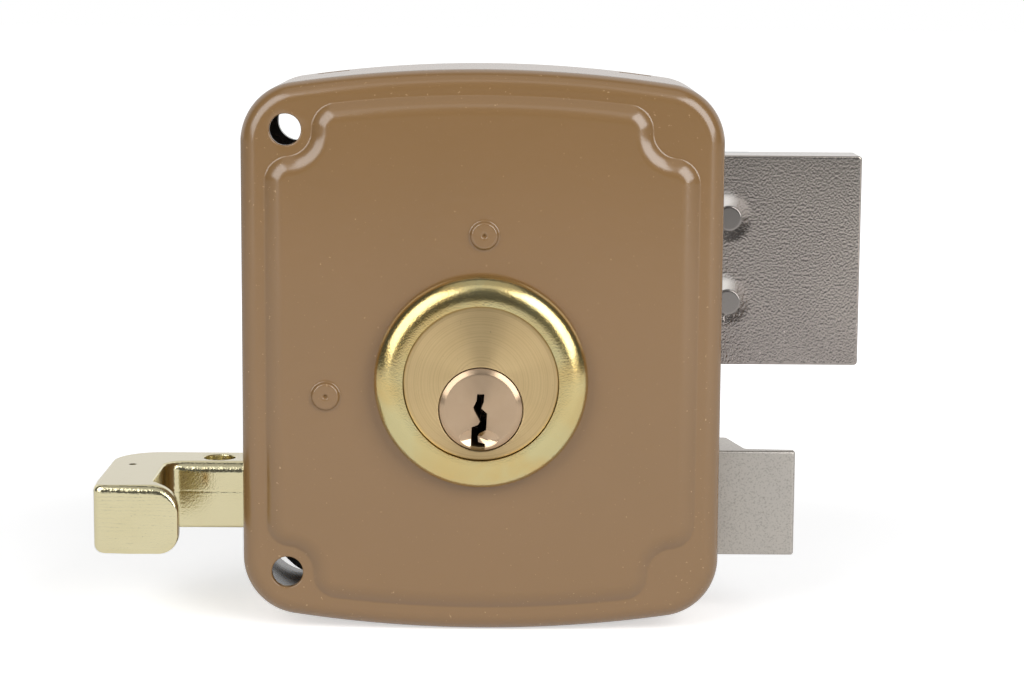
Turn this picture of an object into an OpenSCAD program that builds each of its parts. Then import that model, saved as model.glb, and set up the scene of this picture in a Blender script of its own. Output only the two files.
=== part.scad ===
// Rim box lock: a bowed painted case for the inside of a door, with a key cylinder that
// throws a deadbolt and a sprung latch that is drawn by a finger pull.
// Millimetres. The origin is where the cylinder's axis meets the door. X points to the
// bolts, Y into the door and Z up.

/* [Case] */
// Width of the case
case_w = 80; // [76:1:100]
// Height of the case at its middle
case_h = 94.2; // [92:0.2:120]
// Depth from the door to the raised panel
case_d = 30; // [29:0.5:40]
// Height of the case's middle above the cylinder's axis
case_rise = 4.1; // [3:0.1:6]
// Thickness of the case's sheet
sheet = 1.2; // [0.8:0.1:1.6]
// Radius of the case's corners
corner_r = 10; // [8:0.5:14]
// Radius of the bowed top and bottom edges
bow_r = 215; // [160:5:400]
// Rounding of the front edge
edge_r = 3; // [2:0.25:4]

/* [Raised panel] */
// Height of the panel above the rim
panel_rise = 1.4; // [0.6:0.1:2]
// Distance of the panel's foot from the case's outline
panel_inset = 4.2; // [3.5:0.1:6]
// Width of the panel's sloped edge
panel_slope = 3.2; // [2:0.1:3.4]
// Radius of the scallop round each corner hole
scallop_r = 4.4; // [3.5:0.1:5]
// Radius of the panel's crest on either side of a scallop
crest_r = 1; // [0.7:0.1:2]

/* [Fixing] */
// Distance of the fixing holes from the cylinder's axis
fix_x = 32.4; // [30:0.1:34]
// Height from one fixing hole to the other
fix_pitch = 74.2; // [70:0.2:76]
// Diameter of the fixing holes in the case
fix_d = 5.2; // [4:0.1:6]
// Diameter of the fixing holes in the back plate
fix_back_d = 7; // [6:0.1:8]

/* [Back plate] */
// Thickness of the back plate
plate_t = 2; // [1.5:0.1:3]
// Gap between the back plate and the case's wall
plate_gap = 0.25; // [0.1:0.05:0.5]
// Extra gap at the back plate's corners
corner_gap = 1; // [0:0.1:1.5]
// Distance of the plate's lugs from the middle
lug_x = 26; // [20:0.5:27]
// Width of a lug
lug_w = 5; // [3:0.5:7]
// Diameter of the hole behind the pinion
drive_hole_d = 12; // [11:0.5:16]
// Gap between the back plate and the bolts
slide_gap = 1; // [0.6:0.1:2]

/* [Posts and rivets] */
// Sideways place of the guide post
guide_x = 0.4; // [-2:0.1:2]
// Height of the guide post above the axis
guide_z = 24.1; // [23.5:0.1:26]
// Diameter of the guide post
guide_d = 8; // [7:0.25:8.5]
// Diameter of the guide post where the bolt's tail slides
guide_neck_d = 5; // [4.5:0.25:6]
// Distance of the spring post from the axis
spring_x = 25.8; // [24:0.1:27]
// Depth of the spring post below the axis
spring_z = 2.8; // [1:0.1:4]
// Diameter of the spring post
spring_post_d = 5; // [4:0.25:6]
// Length of the spring post
spring_post_len = 20; // [16:0.5:20.5]
// Diameter of a rivet's head
rivet_head_d = 4.8; // [4:0.1:6]
// Height of a rivet's head
rivet_head_h = 0.9; // [0.5:0.1:1.5]
// Diameter of a rivet's shank
rivet_d = 3; // [2.5:0.1:3.5]
// Length of a rivet's shank inside its post
rivet_len = 5; // [3:0.5:8]
// Diameter of the plate screw's shank
screw_d = 3.2; // [2.5:0.1:3.5]
// Diameter of the plate screw's countersunk head
screw_head_d = 7; // [5.5:0.1:8]
// Length of the plate screw
screw_len = 10; // [6:0.5:14]

/* [Cylinder] */
// Height of the cylinder's face above the panel
face_h = 3.5; // [2.8:0.1:5]
// Diameter of the cylinder's face
face_d = 25.5; // [25.2:0.1:27]
// Thickness of the cylinder's flange
flange_t = 2.4; // [1.5:0.1:2.6]
// Diameter of the cylinder's body
body_d = 24.4; // [24.2:0.1:24.6]
// Diameter of the ring
ring_d = 35.4; // [33:0.2:40]
// Radius of the ring's rounded section
ring_round = 4.1; // [3.9:0.1:5]
// Width of the body across the fork's flats
flat_w = 22; // [20:0.2:23]
// Thickness of the fork
fork_t = 2; // [1.5:0.1:2.5]
// Width of the fork
fork_w = 34; // [30:0.5:38]
// Running gap between the plug and the body
plug_fit = 0.05; // [0.02:0.01:0.1]

/* [Plug and pins] */
// Depth of the plug's axis below the cylinder's axis
plug_drop = 4.3; // [4:0.1:4.6]
// Diameter of the plug
plug_d = 13; // [12:0.1:13.2]
// Diameter of the plug's front collar
collar_d = 13.8; // [13.5:0.1:14]
// Length of the plug's front collar
collar_t = 1.6; // [1:0.1:2]
// Width of the shallow chamfer round the plug's face
plug_chamfer = 0.7; // [0.3:0.1:1]
// Number of pin stacks
pin_count = 5; // [4:1:5]
// Distance from one pin stack to the next
pin_pitch = 3.4; // [3.2:0.1:3.5]
// Distance of the first pin stack from the face
pin_first = 4.4; // [4:0.1:4.6]
// Diameter of the pins
pin_d = 2.7; // [2.2:0.1:2.9]
// Diameter of the spring wire in the pin stacks
pin_wire = 0.4; // [0.3:0.05:0.5]
// Turns of a pin spring
pin_turns = 4; // [3:1:5]

/* [Drive] */
// Teeth of the pinion
teeth = 8; // [7:1:9]
// Distance from tooth to tooth on the rack
tooth_pitch = 3; // [2.9:0.05:3.1]
// Height of a tooth above the pitch line
addendum = 0.75; // [0.6:0.05:0.8]
// Gap between a tooth and the flank that it doesn't push
backlash = 0.2; // [0.1:0.05:0.4]
// Width of the slot for the outside cylinder's bar
bar_slot_w = 2.4; // [1.5:0.1:3]

/* [Deadbolt] */
// Height of the deadbolt
bolt_h = 36; // [34:0.2:37]
// Height of the deadbolt's middle above the axis
bolt_z = 18.3; // [18.2:0.1:19.5]
// Thickness of the deadbolt
bolt_t = 9.5; // [8:0.1:10]
// Length of the deadbolt outside the case
bolt_out = 24.5; // [20:0.1:26]
// Length of the deadbolt inside the case
bolt_in = 8; // [6:0.5:9]
// Thickness of the tail plate
tail_t = 3.8; // [3:0.1:4.5]
// Length of the overlap between tail plate and deadbolt
lap = 14; // [13:0.5:18]
// Distance of the studs from the case
stud_x = 2; // [1.8:0.1:3]
// Distance from stud to stud
stud_pitch = 14.4; // [12:0.2:18]
// Diameter of the studs
stud_d = 4.2; // [3.5:0.1:5]
// Height of the studs
stud_h = 0.7; // [0.4:0.1:0.9]
// Gap between a moving bolt and its window
window_gap = 0.35; // [0.3:0.05:0.6]

/* [Latch] */
// Height of the latch
latch_h = 18.2; // [16:0.2:19]
// Depth of the latch's middle below the axis
latch_z = 23.2; // [23.2:0.1:23.6]
// Thickness of the latch
latch_t = 13.4; // [12:0.1:14]
// Length of the latch outside the case
latch_out = 13.8; // [12:0.1:15]
// Thickness of the latch's nose at its root
nose_t = 2.5; // [2.4:0.1:4]
// Length of the latch's full thickness outside the case
latch_root = 3.1; // [1:0.1:3.5]
// Length of the nose
nose_len = 8.3; // [8:0.1:10]
// Width of the latch's stop shoulder
stop_w = 1.6; // [1:0.1:2]
// Wire diameter of the latch spring
wire_d = 1.2; // [0.9:0.1:1.3]
// Mean radius of the latch spring's coil
coil_r = 4.3; // [4:0.1:4.8]
// Distance from turn to turn of the latch spring
coil_pitch = 1.75; // [1.7:0.05:1.9]

/* [Finger pull] */
// Height of the pull
pull_h = 11.6; // [10:0.1:12]
// Thickness of the pull's tail
pull_t = 9.7; // [9:0.1:10.5]
// Length of the pull outside the case
pull_out = 24.1; // [22:0.1:28]
// Distance of the pad's face from the door
pad_front = 33.7; // [31:0.1:38]
// Width of the pad
pad_w = 14.1; // [12:0.1:15]
// Width of the neck
neck_w = 9.5; // [8:0.1:9.6]
// Outer bend radius of the pull
bend_r = 8; // [6:0.5:9]
// Thickness of the pad
pad_t = 2.8; // [2.5:0.1:4]
// Rounding in the corners of the pull's finger hollow
throat_r = 2.4; // [1.5:0.1:3]
// Length of the pull inside the case
pull_in = 16; // [15:0.5:18]
// Diameter of the hole for the pull's pin
pull_hole_d = 5.5; // [4:0.1:6]
// Distance of the pull's pin from the case
pull_pin_x = 5.9; // [5:0.1:7]

/* [Hidden] */
$fn = 64;

// Small fits used throughout: seat between fixed pieces, and cut past a face
seat = 0.05;
cut = 1;
half_w = case_w/2;
y_rim = panel_rise - case_d;
y_panel = -case_d;
y_inside = y_panel + sheet;
y_bolt = -plate_t - slide_gap;
y_bolt_front = y_bolt - bolt_t;
y_tail = y_bolt - tail_t;
y_face = y_panel - face_h;
y_body_end = y_bolt_front - 0.6;
body_r = body_d/2;
plug_z = -plug_drop;
plug_r = plug_d/2;
pin_r = pin_d/2;
// The pinion's pitch circle rolls on the rack, so one turn of the key gives the throw
throw = teeth*tooth_pitch;
pitch_r = throw/(2*PI);
press_angle = 30;
rack_z = plug_z + pitch_r;
root_gap = 0.25;
latch_y0 = y_bolt - latch_t;
pull_y0 = y_bolt - pull_t;
pull_z0 = -latch_z - pull_h/2;
pull_z1 = -latch_z + pull_h/2;

// A rod along Y
module rod(x, z, r, y0, y1) {
    translate([x, y0, z]) rotate([-90, 0, 0]) cylinder(r=r, h=y1 - y0);
}

// An outline in X and Z, made solid from y0 to y1
module slab(y0, y1) {
    translate([0, y1, 0]) rotate([90, 0, 0]) linear_extrude(y1 - y0) children();
}

// A block between two corners
module block(a, b) {
    translate(a) cube(b - a);
}

// Outline points [x, z, normal x, normal z] on an arc
function arc(c, r, a0, a1, n, s=1) = [for (i=[0:n]) let(a=a0 + (a1 - a0)*i/n)
    [c[0] + r*cos(a), c[1] + r*sin(a), s*cos(a), s*sin(a)]];
function rest(v) = [for (i=[1:len(v) - 1]) v[i]];
function back(v) = [for (i=[len(v) - 1:-1:0]) v[i]];
function flip(v, sx, sz) = [for (p=v) [sx*p[0], sz*p[1], sx*p[2], sz*p[3]]];
// A quarter outline, from the right-hand side to the middle of the top, made whole
function whole(q) = concat(q, rest(back(flip(q, -1, 1))), flip(q, -1, -1),
    rest(back(flip(q, 1, -1))));
function angle(v) = atan2(v[1], v[0]);
function inset(v, d) = [for (p=v) [p[0] - d*p[2], p[1] - d*p[3]]];
// An inset that grows towards the corners, by the extra gap in their middle
function eased(v, d) = [for (p=v) let(k=d + corner_gap*pow(2*p[2]*p[3], 2))
    [p[0] - k*p[2], p[1] - k*p[3]]];
function lift(v, y) = [for (p=v) [p[0], y, p[1] + case_rise]];

// The case's outline: straight sides, a round corner and the bowed top
corner_n = 10;
bow_n = 4;
bow_c = [0, case_h/2 - bow_r];
corner_x = half_w - corner_r;
corner_c = [corner_x, bow_c[1] + sqrt(pow(bow_r - corner_r, 2) - corner_x*corner_x)];
corner_a = angle(corner_c - bow_c);
case_line = whole(concat(arc(corner_c, corner_r, 0, corner_a, corner_n),
    rest(arc(bow_c, bow_r, corner_a, 90, bow_n))));

// The panel's outline: a scallop round the corner hole between two blending arcs
hole_c = [fix_x, fix_pitch/2];
scallop_blend = panel_slope + crest_r;
reach = scallop_r + scallop_blend;
side_c = let(x=half_w - panel_inset - scallop_blend)
    [x, hole_c[1] - sqrt(reach*reach - pow(x - fix_x, 2))];
foot_r = bow_r - panel_inset;
to_bow = bow_c - hole_c;
top_a = let(d=norm(to_bow), q=foot_r - scallop_blend)
    angle(to_bow) - acos((reach*reach + d*d - q*q)/(2*reach*d));
top_c = hole_c + reach*[cos(top_a), sin(top_a)];
side_a = angle(hole_c - side_c);
scallop_a1 = top_a < 0 ? top_a + 360 : top_a;
panel_line = whole(concat(arc(side_c, scallop_blend, 0, side_a, 3),
    rest(arc(hole_c, scallop_r, side_a + 180, scallop_a1, 4, -1)),
    rest(arc(top_c, scallop_blend, scallop_a1 - 180, angle(top_c - bow_c), 3)),
    rest(arc(bow_c, foot_r, angle(top_c - bow_c), 90, bow_n))));

// Rings of points joined into one closed skin, with a middle point at each end
module skin(rings, first, last) {
    n = len(rings[0]);
    m = len(rings);
    pts = concat([for (r=rings) each r], [first, last]);
    sides = [for (k=[0:m - 2], i=[0:n - 1]) let(j=(i + 1) % n, a=k*n, b=a + n)
        each [[a + i, b + j, a + j], [a + i, b + i, b + j]]];
    ends = [for (i=[0:n - 1]) let(j=(i + 1) % n, b=(m - 1)*n)
        each [[m*n, i, j], [m*n + 1, b + j, b + i]]];
    polyhedron(pts, concat(sides, ends));
}

// The panel's edge rises steeply from its foot and rounds over into the panel
function crown(t) = t*(2 - t);

// One side of the pressed sheet, from the door to the middle of the panel
function pressing(d, y, r) = concat(
    [lift(inset(case_line, d), d > 0 ? cut : 0)],
    [for (i=[0:4]) let(a=i*22.5) lift(inset(case_line, d + r*(1 - cos(a))),
        y_rim + y + r - r*sin(a))],
    [for (i=[0:4]) let(t=i/4) lift(inset(panel_line, d/3 + panel_slope*t),
        y_rim + y - panel_rise*crown(t))]);

// Painted shell, pressed from one sheet
module case() {
    color("#8c6d55")
    difference() {
        skin(pressing(0, 0, edge_r), [0, 0, case_rise], [0, y_panel, case_rise]);
        skin(pressing(sheet, sheet, edge_r - sheet), [0, cut, case_rise],
            [0, y_inside, case_rise]);
        rod(0, 0, body_r + 2*seat, y_panel - cut, y_inside + cut);
        for (z=[-1, 1]) rod(-fix_x, case_rise + z*fix_pitch/2, fix_d/2, y_rim - cut,
            y_rim + sheet + cut);
        rod(guide_x, guide_z, rivet_d/2 + seat, y_panel - cut, y_inside + cut);
        rod(-spring_x, -spring_z, rivet_d/2 + seat, y_panel - cut, y_inside + cut);
        // Windows for the deadbolt, the latch and the pull
        block([half_w - sheet - cut, y_bolt_front - stud_h - window_gap,
            bolt_z - bolt_h/2 - window_gap], [half_w + cut, y_bolt + window_gap,
            bolt_z + bolt_h/2 + window_gap]);
        block([half_w - sheet - cut, latch_y0 - window_gap, -latch_z - latch_h/2 - window_gap],
            [half_w + cut, y_bolt + window_gap, -latch_z + latch_h/2 + window_gap]);
        block([-half_w - cut, pull_y0 - window_gap, pull_z0 - window_gap],
            [-half_w + sheet + cut, y_bolt + window_gap, pull_z1 + window_gap]);
        lugs() block([-lug_w/2 - plate_gap, nib_y0 - plate_gap, -sheet - cut],
            [lug_w/2 + plate_gap, nib_y1 + plate_gap, cut]);
    }
}

// The lugs' places: on the bowed walls, square to the sheet. Z points outwards there,
// from the wall's outer face.
nib_y0 = -plate_t - 3;
nib_y1 = -plate_t - 1;
module lugs() {
    for (t=[0, 180], s=[-1, 1]) translate([0, 0, case_rise]) rotate([0, t, 0])
        translate([0, 0, case_h/2 - bow_r]) rotate([0, s*asin(lug_x/bow_r), 0])
        translate([0, 0, bow_r]) children();
}

// Two painted rivets that hold the posts to the panel
module case_rivets() {
    cap_r = (pow(rivet_head_d/2, 2) + rivet_head_h*rivet_head_h)/(2*rivet_head_h);
    color("#8c6d55")
    for (p=[[guide_x, guide_z], [-spring_x, -spring_z]]) {
        intersection() {
            translate([p[0], y_panel - rivet_head_h + cap_r, p[1]]) sphere(r=cap_r);
            rod(p[0], p[1], rivet_head_d, y_panel - 2*rivet_head_h, y_panel);
        }
        rod(p[0], p[1], rivet_d/2, y_panel, y_inside + rivet_len);
    }
}

// Flat plate in the case's mouth, with four bent lugs that catch in the walls
module back_plate() {
    d = sheet + plate_gap;
    color("#b9b9b4") {
        difference() {
            slab(-plate_t, 0) translate([0, case_rise]) polygon(eased(case_line, d));
            for (z=[-1, 1]) rod(-fix_x, case_rise + z*fix_pitch/2, fix_back_d/2,
                -plate_t - cut, cut);
            rod(0, plug_z, drive_hole_d/2, -plate_t - cut, cut);
            rod(guide_x, guide_z, screw_d/2 + seat, -plate_t - cut, cut);
            translate([guide_x, 0, guide_z]) rotate([90, 0, 0])
                cylinder(r1=screw_head_d/2 + seat, r2=screw_d/2 + seat,
                    h=(screw_head_d - screw_d)/2);
        }
        lugs() {
            block([-lug_w/2, nib_y0 - 1.5, -d - 1.2], [lug_w/2, -plate_t + 0.2, -d]);
            block([-lug_w/2, nib_y0, -d - 0.2], [lug_w/2, nib_y1, -sheet/2]);
        }
    }
}

// Countersunk slotted screw from the back plate into the guide post
module plate_screw() {
    head_h = (screw_head_d - screw_d)/2;
    color("#a8a8a6")
    difference() {
        union() {
            translate([guide_x, 0, guide_z]) rotate([90, 0, 0])
                cylinder(r1=screw_head_d/2, r2=screw_d/2, h=head_h);
            rod(guide_x, guide_z, screw_d/2, -screw_len, -head_h);
        }
        block([guide_x - screw_head_d, -0.8, guide_z - 0.5], [guide_x + screw_head_d, cut,
            guide_z + 0.5]);
    }
}

// Turned post: its thin end carries the deadbolt's tail, its shoulder keeps it down
module guide_post() {
    shoulder = y_tail - 0.3;
    color("#9c9c98")
    difference() {
        union() {
            rod(guide_x, guide_z, guide_d/2, y_inside, shoulder);
            rod(guide_x, guide_z, guide_neck_d/2, shoulder, -plate_t);
        }
        rod(guide_x, guide_z, rivet_d/2 + seat, y_inside - cut, y_inside + rivet_len + 0.5);
        rod(guide_x, guide_z, screw_d/2 + seat, -screw_len - 0.5, -plate_t + cut);
    }
}

// Turned post that carries the latch spring
module spring_post() {
    color("#9c9c98")
    difference() {
        rod(-spring_x, -spring_z, spring_post_d/2, y_inside, y_inside + spring_post_len);
        rod(-spring_x, -spring_z, rivet_d/2 + seat, y_inside - cut,
            y_inside + rivet_len + 0.5);
    }
}

// Convex brass ring, clamped under the cylinder's flange
module cylinder_ring() {
    r0 = body_r + 2*seat;
    r1 = face_d/2 + 2*seat;
    seat_y = y_face + flange_t;
    color("#c9b05e")
    rotate([-90, 0, 0]) rotate_extrude()
    difference() {
        intersection() {
            translate([ring_d/2 - ring_round, y_panel]) circle(r=ring_round);
            translate([r0, y_panel - ring_round]) square([ring_d/2, ring_round]);
        }
        translate([r0 - cut, seat_y - face_h - cut]) square([r1 - r0 + cut, face_h + cut]);
    }
}

// Brass body of the key cylinder: plug bore, pin chambers and flats for the fork
module cylinder_body() {
    color("#c4ab68")
    difference() {
        union() {
            rod(0, 0, face_d/2, y_face, y_face + flange_t);
            rod(0, 0, body_r, y_face + flange_t, y_body_end);
        }
        rod(0, plug_z, plug_r + plug_fit, y_face - cut, y_body_end + cut);
        rod(0, plug_z, collar_d/2 + 2*plug_fit, y_face - cut, y_face + collar_t + plug_fit);
        pins() cylinder(r=pin_r + seat, h=body_d);
        for (s=[0, 180]) rotate([0, s, 0]) block([flat_w/2, y_inside + seat, -body_d],
            [body_d, y_inside + fork_t + 2*seat, body_d]);
    }
}

// Flat fork that slides over the cylinder's flats behind the panel
module cylinder_fork() {
    top = guide_z - guide_d/2 - 4*seat;
    w = flat_w/2 + seat;
    color("#a3a39e")
    slab(y_inside + seat, y_inside + seat + fork_t)
    difference() {
        translate([-fork_w/2, -body_r + 3]) square([fork_w, top + body_r - 3]);
        translate([-w, -body_d]) square([2*w, body_d + body_r + 4*seat]);
    }
}

// The pin stacks' places: Z points up from the plug's axis
module pins() {
    for (i=[0:pin_count - 1]) translate([0, y_face + pin_first + i*pin_pitch, plug_z])
        children();
}
pin_y = [for (i=[0:pin_count - 1]) y_face + pin_first + i*pin_pitch];
// Lengths of the key pins, as one key would set them
key_cut = [4.2, 5, 3.8, 5.4, 4.6];
shear = sqrt(plug_r*plug_r - pin_r*pin_r) - 0.1;
driver_len = 3.2;
cap_len = 1.6;

// Outline of the keyway about the plug's axis
keyway = [[-0.6, 2.6], [-0.7, 1.5], [-1.25, 0.4], [-1, -0.3], [-0.1, -1.95], [-0.45, -2.5],
    [-1.5, -2.9], [-1.6, -5.2], [-1.7, -8], [0.7, -8], [0.7, -5.75], [-0.4, -5.5],
    [-0.5, -4.6], [-0.2, -4], [0.9, -3.4], [1.05, -0.6], [0.1, 0.25], [0.5, 1.3], [0.6, 2.6]];

// Turning plug with the keyway, its collar in front and its flatted tail behind
tail_r = 5;
spigot_r = 1.9;
spigot_w = 2.9;
clip_t = 0.7;
module plug() {
    tail_end = y_tail - 3;
    color("#c9b29c")
    difference() {
        union() {
            translate([0, y_face - 0.2, plug_z]) rotate([-90, 0, 0])
                cylinder(r1=collar_d/2 - plug_chamfer, r2=collar_d/2, h=plug_chamfer/2);
            rod(0, plug_z, collar_d/2, y_face - 0.2 + plug_chamfer/2, y_face + collar_t);
            rod(0, plug_z, plug_r, y_face + collar_t, y_body_end);
            rod(0, plug_z, tail_r - 0.8, y_body_end, y_body_end + clip_t + 0.2);
            rod(0, plug_z, tail_r, y_body_end + clip_t + 0.2, tail_end);
            intersection() {
                rod(0, plug_z, spigot_r, tail_end, y_tail + 2);
                block([-spigot_w/2, tail_end - cut, plug_z - 4], [spigot_w/2, 0, plug_z + 4]);
            }
        }
        slab(y_face - cut, y_body_end - 0.6) translate([0, plug_z]) polygon(keyway);
        translate([-0.4, y_face - 0.2, plug_z - 5.2]) rotate([-90, 0, 0])
            cylinder(r1=3.2, r2=0.4, h=1.4);
        pins() translate([0, 0, 0.4]) cylinder(r=pin_r + seat, h=plug_d);
    }
}

// Snap ring in the groove of the plug's tail
module plug_clip() {
    color("#8f8f8c")
    difference() {
        rod(0, plug_z, plug_r - 0.3, y_body_end + 0.1, y_body_end + 0.1 + clip_t);
        rod(0, plug_z, tail_r - 0.8 + seat, y_body_end - cut, y_body_end + cut + clip_t);
        block([-2, y_body_end - cut, plug_z - plug_d], [2, y_body_end + cut + clip_t, plug_z]);
    }
}

// Involute flank: the angle at radius r between the flank and the tooth's middle
base_r = pitch_r*cos(press_angle);
function inv(r) = let(a=acos(min(1, base_r/r))) tan(a)*180/PI - a;
tooth_half = (tooth_pitch/4 - backlash/4)/pitch_r*180/PI;
function flank(r) = tooth_half + inv(pitch_r) - inv(r);
tip_r = pitch_r + addendum;
root_r = pitch_r - addendum - root_gap;
flank_r = [for (i=[0:5]) max(base_r, root_r) + (tip_r - max(base_r, root_r))*i/5];
function on(r, a) = [r*cos(a), r*sin(a)];
pinion_line = [for (t=[0:teeth - 1]) let(m=90 + t*360/teeth)
    each concat([on(root_r, m - flank(flank_r[0]))], [for (r=flank_r) on(r, m - flank(r))],
    [for (i=[5:-1:0]) on(flank_r[i], m + flank(flank_r[i]))],
    [on(root_r, m + flank(flank_r[0]))])];

// Pinion on the plug's tail: its teeth drive the rack, its hub takes the outside bar
module drive_pinion() {
    hub_end = -0.5;
    color("#b7b2a6")
    difference() {
        union() {
            slab(y_tail + seat, y_bolt - seat) translate([0, plug_z]) polygon(pinion_line);
            rod(0, plug_z, root_r + 1.2, y_tail - 2.9, y_tail - 0.15);
            rod(0, plug_z, root_r, y_tail - 0.2, y_tail + 0.2);
            rod(0, plug_z, root_r, y_bolt - 0.2, y_bolt + 0.2);
            rod(0, plug_z, drive_hole_d/2 - 1.5, y_bolt + 0.15, hub_end);
        }
        intersection() {
            rod(0, plug_z, spigot_r + seat, y_tail - 4, y_tail + 2.1);
            block([-spigot_w/2 - seat, y_tail - 4, plug_z - 4], [spigot_w/2 + seat,
                y_tail + 2.1, plug_z + 4]);
        }
        block([-drive_hole_d, hub_end - 2.2, plug_z - bar_slot_w/2], [drive_hole_d, cut,
            plug_z + bar_slot_w/2]);
    }
}

// Key pins, shown where a key would hold them
module key_pins() {
    color("#cdb567")
    for (i=[0:pin_count - 1]) translate([0, pin_y[i], plug_z + shear - key_cut[i]]) {
        cylinder(r1=0.5, r2=pin_r, h=0.9);
        translate([0, 0, 0.9]) cylinder(r=pin_r, h=key_cut[i] - 0.9);
    }
}

// Driver pins, just clear of the plug
driver_z = plug_r + plug_fit + 0.06;
module driver_pins() {
    color("#b8b8b2")
    pins() translate([0, 0, driver_z]) cylinder(r=pin_r, h=driver_len);
}

// Plugs that close the chambers at the top of the body
cap_z = sqrt(body_r*body_r - pin_r*pin_r) + plug_drop - cap_len - 0.05;
module chamber_caps() {
    color("#cdb567")
    pins() translate([0, 0, cap_z]) cylinder(r=pin_r + seat/2, h=cap_len);
}

// A round wire along a path: each ring of six sides stands square to the path
module wire(path, r) {
    n = len(path);
    side = 6;
    dir = [for (i=[0:n - 1]) let(v=path[min(i + 1, n - 1)] - path[max(i - 1, 0)]) v/norm(v)];
    skin([for (i=[0:n - 1]) let(u=cross(dir[i], [0.31, 0.2, 0.93]), a=u/norm(u),
        b=cross(dir[i], a)) [for (k=[0:side - 1]) path[i] + r*(cos(k*60)*a + sin(k*60)*b)]],
        path[0], path[n - 1]);
}

// Small springs between the driver pins and the caps
module pin_springs() {
    z0 = driver_z + driver_len + pin_wire/2 + 0.05;
    h = cap_z - pin_wire/2 - 0.05 - z0;
    r = pin_r - pin_wire/2 - 0.1;
    color("#9a9a96")
    pins() wire([for (i=[0:pin_turns*8]) [r*cos(i*45), r*sin(i*45), z0 + h*i/(pin_turns*8)]],
        pin_wire/2);
}

// Thick plated bolt, stepped at the back for its tail plate
module deadbolt_head() {
    x0 = half_w - bolt_in;
    color("#9c9c9a")
    difference() {
        block([x0, y_bolt_front, bolt_z - bolt_h/2], [half_w + bolt_out, y_bolt,
            bolt_z + bolt_h/2]);
        block([x0 - cut, y_tail, bolt_z - bolt_h/2 - cut], [x0 + lap, y_bolt + cut,
            bolt_z + bolt_h/2 + cut]);
        studs() rod(0, 0, stud_d/2 - 0.1 + seat, y_bolt_front - cut, y_bolt + cut);
    }
}

// The studs' places
module studs() {
    for (s=[-1, 1]) translate([half_w + stud_x, 0, bolt_z + s*stud_pitch/2]) children();
}

// Two studs that rivet the deadbolt to its tail
module deadbolt_rivets() {
    color("#8e8e8c")
    studs() {
        rod(0, 0, stud_d/2, y_bolt_front - stud_h, y_bolt_front);
        rod(0, 0, stud_d/2 - 0.1, y_bolt_front, y_bolt);
    }
}

// Tail plate of the deadbolt: slot for the guide post, rack teeth along the lower edge
module bolt_tail() {
    x0 = guide_x - guide_neck_d/2 - 6;
    x1 = half_w - bolt_in + lap;
    z1 = bolt_z + bolt_h/2 - 2;
    slot_h = guide_neck_d/2 + window_gap;
    first = -2;
    last = teeth + 1;
    gap_tip = tooth_pitch/4 + backlash/4;
    slope = tan(press_angle);
    color("#a9a9a4")
    difference() {
        slab(y_tail, y_bolt)
        difference() {
            union() {
                translate([x0, rack_z + addendum + root_gap])
                    square([x1 - lap - x0 + 1, z1 - rack_z - addendum - root_gap]);
                translate([x1 - lap, bolt_z - bolt_h/2 + 2]) square([lap, bolt_h - 2]);
                for (t=[first:last]) translate([(t + 0.5)*tooth_pitch, rack_z]) polygon([
                    [-tooth_pitch/4 + backlash/4 + addendum*slope, -addendum],
                    [tooth_pitch/4 - backlash/4 - addendum*slope, -addendum],
                    [gap_tip - backlash/2 + (addendum + root_gap)*slope, addendum + root_gap],
                    [gap_tip - backlash/2 + (addendum + root_gap)*slope, addendum + 1],
                    [-gap_tip + backlash/2 - (addendum + root_gap)*slope, addendum + 1],
                    [-gap_tip + backlash/2 - (addendum + root_gap)*slope, addendum + root_gap]]);
            }
            translate([guide_x, guide_z - slot_h]) square([throw, 2*slot_h]);
            for (x=[0, throw]) translate([guide_x + x, guide_z]) circle(r=slot_h);
        }
        studs() rod(0, 0, stud_d/2 - 0.1 + seat, y_bolt_front - cut, y_bolt + cut);
    }
}

// Plan of the latch's head: a thin nose and a steep bevel on the door's side
latch_bar_x = spring_x - coil_r - wire_d/2 - seat;
peg_r = 1.6;
module latch_bolt() {
    x1 = half_w + latch_out;
    xn = x1 - nose_len;
    xs = half_w - sheet - 0.2;
    x0 = half_w - 10;
    tongue_h = pull_h/2 - 2.5;
    z0 = -latch_z - latch_h/2;
    color("#a9a69c")
    difference() {
        union() {
            translate([0, 0, z0]) linear_extrude(latch_h) polygon([[x0, latch_y0],
                [x1 - 0.6, latch_y0], [x1, latch_y0 + 0.6], [x1, latch_y0 + nose_t - 1.2],
                [x1 - 0.6, latch_y0 + nose_t - 0.6], [xn, latch_y0 + nose_t],
                [half_w + latch_root, y_bolt], [x0, y_bolt]]);
            block([xs - 4.5, latch_y0, z0], [xs, y_bolt, z0 + latch_h + stop_w]);
            block([-half_w + pull_in, pull_y0, pull_z0], [x0 + cut, y_bolt, pull_z1]);
            block([-half_w - pull_pin_x - 4, pull_y0 + 2.5, -latch_z - tongue_h],
                [-half_w + pull_in + cut, y_bolt - 2.5, -latch_z + tongue_h]);
            rod(peg_r - latch_bar_x, pull_z1 - peg_r - 1, peg_r, latch_y0 - 3, pull_y0 + cut);
        }
        translate([-half_w - pull_pin_x, 0, pull_z0]) translate([0, (pull_y0 + y_bolt)/2, 0])
            cylinder(r=pull_hole_d/2 - 1, h=pull_h);
    }
}

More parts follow.
